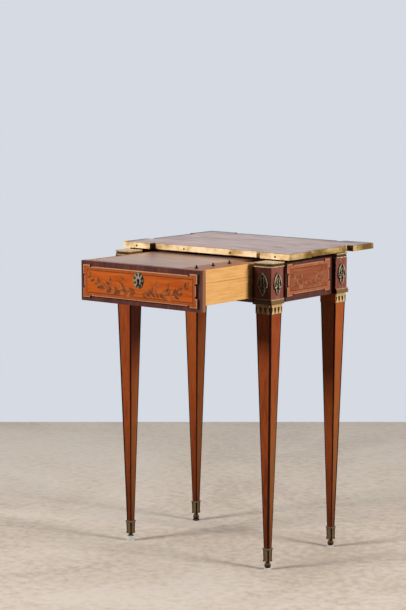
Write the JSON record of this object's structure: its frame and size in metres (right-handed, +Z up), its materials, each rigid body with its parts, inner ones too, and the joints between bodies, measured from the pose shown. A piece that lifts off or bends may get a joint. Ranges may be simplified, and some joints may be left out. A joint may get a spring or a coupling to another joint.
{
  "type": "writing table",
  "caption": "Small writing table on tapered legs, with a top that slides back and a front drawer holding a writing board and lidded compartments; gilt bronze mounts.",
  "frame": {"origin": "on the floor, under the middle of the table's whole extent as it stands open, with the drawer out and the top pushed back", "axes": "+X to the right along the front, +Y from the front to the back, +Z up"},
  "size_m": [0.492, 0.5782, 0.728],
  "materials": {
    "tulipwood_veneer": "polished veneer",
    "ebonised_stringing": "polished",
    "amaranth_ground": "polished veneer",
    "marquetry_panel": "polished marquetry",
    "gilt_bronze": "gilded, softly polished",
    "brass_edging": "polished",
    "knob_brass": "darkened",
    "top_veneer": "high gloss veneer",
    "writing_veneer": "high gloss veneer",
    "drawer_oak": "waxed",
    "carcase_oak": "bare, aged",
    "lock_iron": "filed",
    "patinated_bronze": "darkened",
    "glide_plastic": "matt",
    "glide_leather": "worn"
  },
  "bodies": {
    "carcass": {"apron_back": "amaranth_ground", "apron_left": "amaranth_ground", "apron_right": "amaranth_ground", "back_panel": "marquetry_panel", "drawer_guide_left": "carcase_oak", "drawer_guide_right": "carcase_oak", "drawer_jamb_left": "amaranth_ground", "drawer_jamb_right": "amaranth_ground", "drawer_runner_left": "carcase_oak", "drawer_runner_right": "carcase_oak", "drawer_stop": "carcase_oak", "front_bottom_rail": "amaranth_ground", "leather_glide": "glide_leather", "leg_back_left": "tulipwood_veneer", "leg_back_right": "tulipwood_veneer", "leg_capitals": "gilt_bronze", "leg_front_left": "tulipwood_veneer", "leg_front_right": "tulipwood_veneer", "leg_stringing": "ebonised_stringing", "plastic_glides": "glide_plastic", "post_base_mouldings": "gilt_bronze", "post_cap_back_left": "gilt_bronze", "post_cap_back_right": "gilt_bronze", "post_cap_front_left": "gilt_bronze", "post_cap_front_right": "gilt_bronze", "post_mounts": "gilt_bronze", "sabots": "patinated_bronze", "side_panel_left": "marquetry_panel", "side_panel_right": "marquetry_panel", "top_keeper_left": "carcase_oak", "top_keeper_right": "carcase_oak"},
    "sliding_top": {"top_board": "top_veneer", "top_edging": "brass_edging", "top_batten_left": "carcase_oak", "top_batten_right": "carcase_oak", "top_tongue_left": "carcase_oak", "top_tongue_right": "carcase_oak"},
    "drawer": {"drawer_front_core": "drawer_oak", "drawer_front_facing": "amaranth_ground", "drawer_front_panel": "marquetry_panel", "drawer_side_left": "drawer_oak", "drawer_side_right": "drawer_oak", "drawer_back": "drawer_oak", "drawer_bottom": "drawer_oak", "compartment_divider": "drawer_oak", "compartment_partitions": "drawer_oak", "board_cleat": "drawer_oak", "compartment_cover": "writing_veneer", "escutcheon": "gilt_bronze", "lock_case": "lock_iron"},
    "writing_board": {"writing_board": "writing_veneer"},
    "lid_front": {"lid_front": "writing_veneer", "lid_knob_front": "knob_brass"},
    "lid_middle": {"lid_middle": "writing_veneer", "lid_knob_middle": "knob_brass"},
    "lid_back": {"lid_back": "writing_veneer", "lid_knob_back": "knob_brass"},
    "lock_bolt": {"lock_bolt": "lock_iron"}
  },
  "joints": [
    {"name": "drawer_slide", "type": "slide", "parent": "carcass", "child": "drawer", "axis": [0, -1, 0], "range_m": [-0.189, 0.031]},
    {"name": "top_slide", "type": "slide", "parent": "carcass", "child": "sliding_top", "axis": [0, 1, 0], "range_m": [-0.0679, 0.0521]},
    {"name": "lock_bolt_slide", "type": "slide", "parent": "drawer", "child": "lock_bolt", "axis": [0, 0, 1], "range_m": [0, 0.014]},
    {"name": "writing_board_slide", "type": "slide", "parent": "drawer", "child": "writing_board", "axis": [0, 1, 0], "range_m": [0, 0.15]},
    {"name": "lid_front_lift", "type": "slide", "parent": "drawer", "child": "lid_front", "axis": [0, 0, 1], "range_m": [0, 0.03]},
    {"name": "lid_middle_lift", "type": "slide", "parent": "drawer", "child": "lid_middle", "axis": [0, 0, 1], "range_m": [0, 0.03]},
    {"name": "lid_back_lift", "type": "slide", "parent": "drawer", "child": "lid_back", "axis": [0, 0, 1], "range_m": [0, 0.03]}
  ]
}
